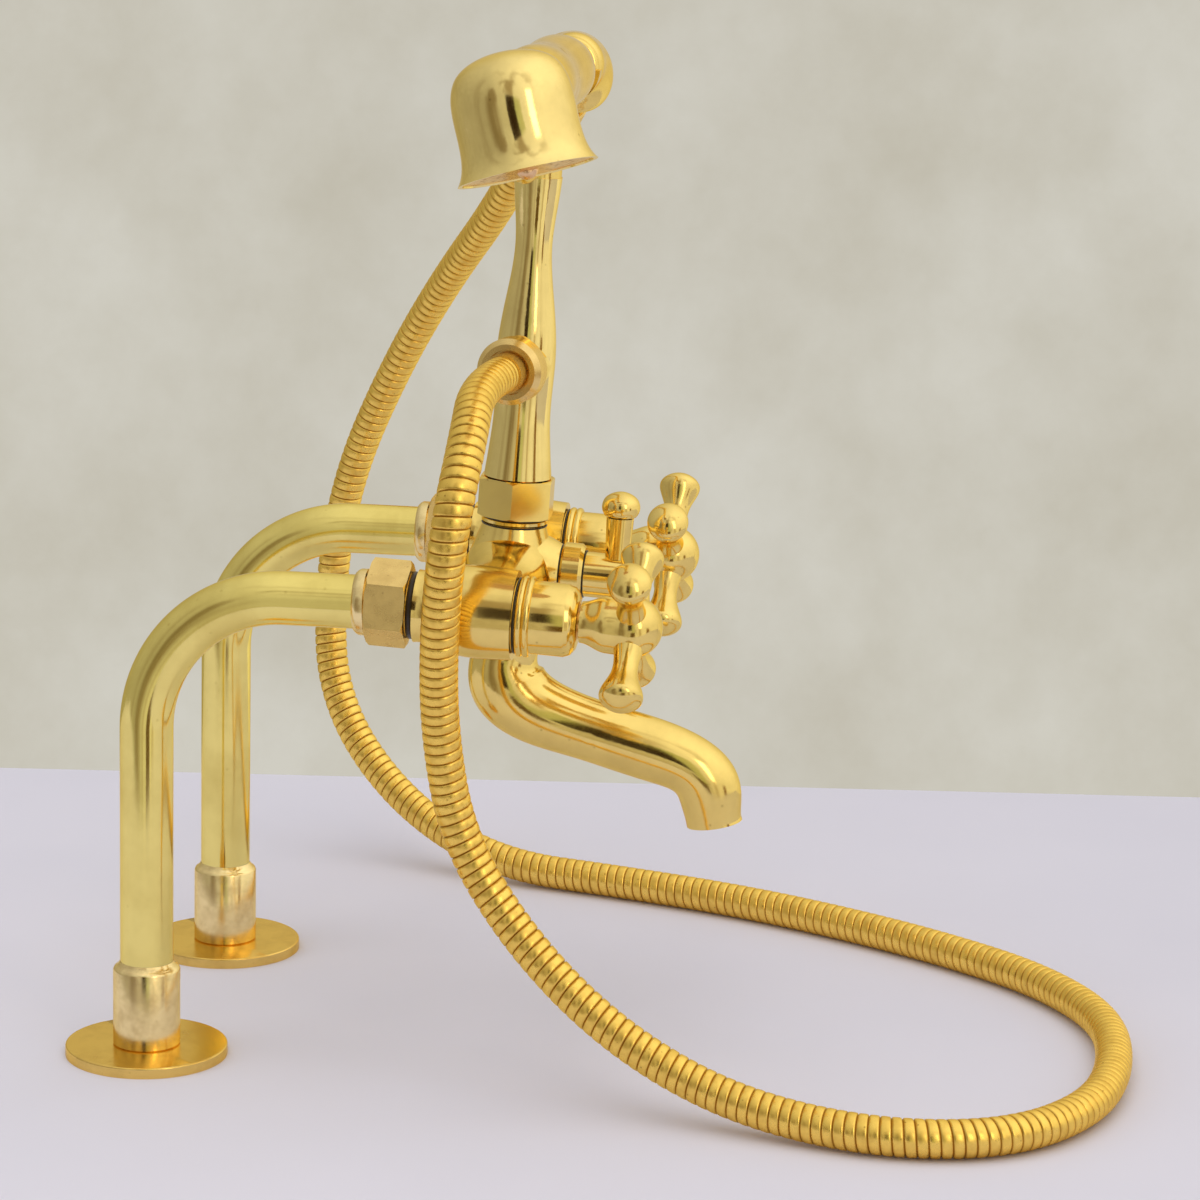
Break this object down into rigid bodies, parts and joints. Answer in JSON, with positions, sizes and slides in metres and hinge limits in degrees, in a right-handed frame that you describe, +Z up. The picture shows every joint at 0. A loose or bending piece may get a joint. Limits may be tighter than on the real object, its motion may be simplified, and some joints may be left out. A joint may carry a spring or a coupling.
{
  "type": "bath shower mixer",
  "caption": "Deck-standing brass bath mixer with crosshead valves, lever diverter, swan spout, riser, and a telephone-pattern hand shower on a metal hose.",
  "frame": {"origin": "on the deck's top face, midway between the axes of the two threaded legs", "axes": "+X from the bather's left leg to the right leg, -Y towards the bather, +Z up"},
  "size_m": [0.4155, 0.4429, 0.4808],
  "materials": {
    "cast_brass": "cast and mirror polished",
    "ceramic_white": "fired alumina ceramic",
    "dull_brass": "machined",
    "hose_brass": "interlocked brass strip",
    "plate_brass": "pressed sheet",
    "rubber_black": "moulded",
    "tube_brass": "polished drawn tube",
    "turned_brass": "turned and polished"
  },
  "bodies": {
    "mixer": {"backnuts": "dull_brass", "column_nut": "dull_brass", "column_seal": "rubber_black", "deck_washers": "dull_brass", "diverter_collar": "cast_brass", "flange_gaskets": "rubber_black", "handset_cradle": "cast_brass", "left_deck_flange": "turned_brass", "left_deck_tail": "dull_brass", "left_fixed_disc": "ceramic_white", "left_leg_tube": "tube_brass", "left_lower_collar": "turned_brass", "left_union_nut": "dull_brass", "left_union_tail": "dull_brass", "left_valve_cartridge": "cast_brass", "left_valve_shroud": "cast_brass", "mixer_body": "cast_brass", "outlet_hose_ferrule": "turned_brass", "outlet_hose_nut": "turned_brass", "outlet_hose_washer": "rubber_black", "right_deck_flange": "turned_brass", "right_deck_tail": "dull_brass", "right_fixed_disc": "ceramic_white", "right_leg_tube": "tube_brass", "right_lower_collar": "turned_brass", "right_union_nut": "dull_brass", "right_union_tail": "dull_brass", "right_valve_cartridge": "cast_brass", "right_valve_shroud": "cast_brass", "riser_column": "cast_brass", "shower_hose": "hose_brass", "spindle_o_rings": "rubber_black", "spout": "cast_brass", "spout_seal": "rubber_black", "union_seals": "rubber_black"},
    "left_handle_turns": {"left_handle": "cast_brass", "left_handle_screw": "cast_brass", "left_handle_cap": "cast_brass", "left_spindle": "cast_brass", "left_turning_disc": "ceramic_white"},
    "right_handle_turns": {"right_handle": "cast_brass", "right_handle_screw": "cast_brass", "right_handle_cap": "cast_brass", "right_spindle": "cast_brass", "right_turning_disc": "ceramic_white"},
    "diverter_lever": {"diverter_barrel": "cast_brass", "diverter_pin": "cast_brass", "diverter_knob": "cast_brass", "diverter_spindle": "cast_brass"},
    "handset": {"handset_elbow": "cast_brass", "handset_beads": "cast_brass", "handset_grip": "cast_brass", "shower_rose": "cast_brass", "spray_plate": "plate_brass", "rose_screw": "cast_brass", "handset_hose_nut": "turned_brass", "handset_hose_ferrule": "turned_brass", "handset_hose_washer": "rubber_black"}
  },
  "joints": [
    {"name": "left_valve_turn", "type": "hinge", "parent": "mixer", "child": "left_handle_turns", "pos_m": [-0.075, -0.19899, 0.1926], "axis": [0, -0.9988, -0.0489], "range_deg": [0, 90]},
    {"name": "right_valve_turn", "type": "hinge", "parent": "mixer", "child": "right_handle_turns", "pos_m": [0.075, -0.19899, 0.1926], "axis": [0, -0.9988, -0.0489], "range_deg": [-90, 0]},
    {"name": "diverter_turn", "type": "hinge", "parent": "mixer", "child": "diverter_lever", "pos_m": [0, -0.18348, 0.19687], "axis": [0, -0.9988, -0.0489], "range_deg": [0, 90]},
    {"name": "handset_lift", "type": "slide", "parent": "mixer", "child": "handset", "axis": [0, -0.0489, 0.9988], "range_m": [0, 0.06]}
  ]
}
